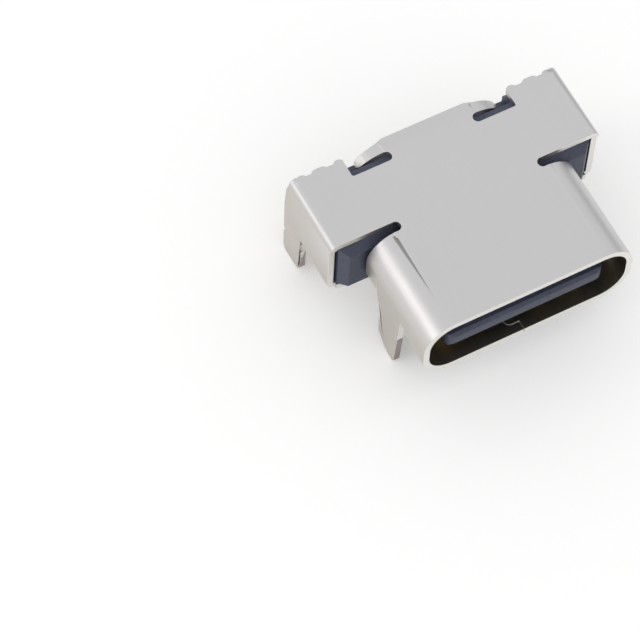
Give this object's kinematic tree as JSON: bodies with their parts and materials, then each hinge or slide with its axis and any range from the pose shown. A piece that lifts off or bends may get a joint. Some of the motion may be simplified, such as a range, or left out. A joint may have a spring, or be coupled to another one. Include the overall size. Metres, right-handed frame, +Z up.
{
  "type": "usb-c socket",
  "caption": "Board-mount socket for a reversible plug: folded steel shell with a tube mouth and four through-board legs, moulded tongue, and a row of solder tails behind.",
  "frame": {"origin": "centre of the mouth's width, in the plane of the mouth, at the level of the board's top face, which is the underside of the solder tails", "axes": "+X across the mouth, +Y from the mouth towards the solder tails, +Z up from the board"},
  "size_m": [0.0114, 0.009, 0.005],
  "materials": {
    "shell_steel": "satin",
    "housing_plastic": "satin moulded",
    "insert_plastic": "satin moulded",
    "contact_gold": "gold plated",
    "plate_steel": "satin",
    "collar_steel": "bright"
  },
  "bodies": {
    "root": {"shell": "shell_steel", "housing": "housing_plastic", "upper_insert": "insert_plastic", "lower_insert": "insert_plastic", "centre_plate": "plate_steel", "upper_collar": "collar_steel", "lower_collar": "collar_steel", "contact_a1": "contact_gold", "contact_a2": "contact_gold", "contact_a3": "contact_gold", "contact_a4": "contact_gold", "contact_a5": "contact_gold", "contact_a6": "contact_gold", "contact_a7": "contact_gold", "contact_a8": "contact_gold", "contact_a9": "contact_gold", "contact_a10": "contact_gold", "contact_a11": "contact_gold", "contact_a12": "contact_gold", "contact_b1": "contact_gold", "contact_b2": "contact_gold", "contact_b3": "contact_gold", "contact_b4": "contact_gold", "contact_b5": "contact_gold", "contact_b6": "contact_gold", "contact_b7": "contact_gold", "contact_b8": "contact_gold", "contact_b9": "contact_gold", "contact_b10": "contact_gold", "contact_b11": "contact_gold", "contact_b12": "contact_gold"}
  },
  "joints": []
}
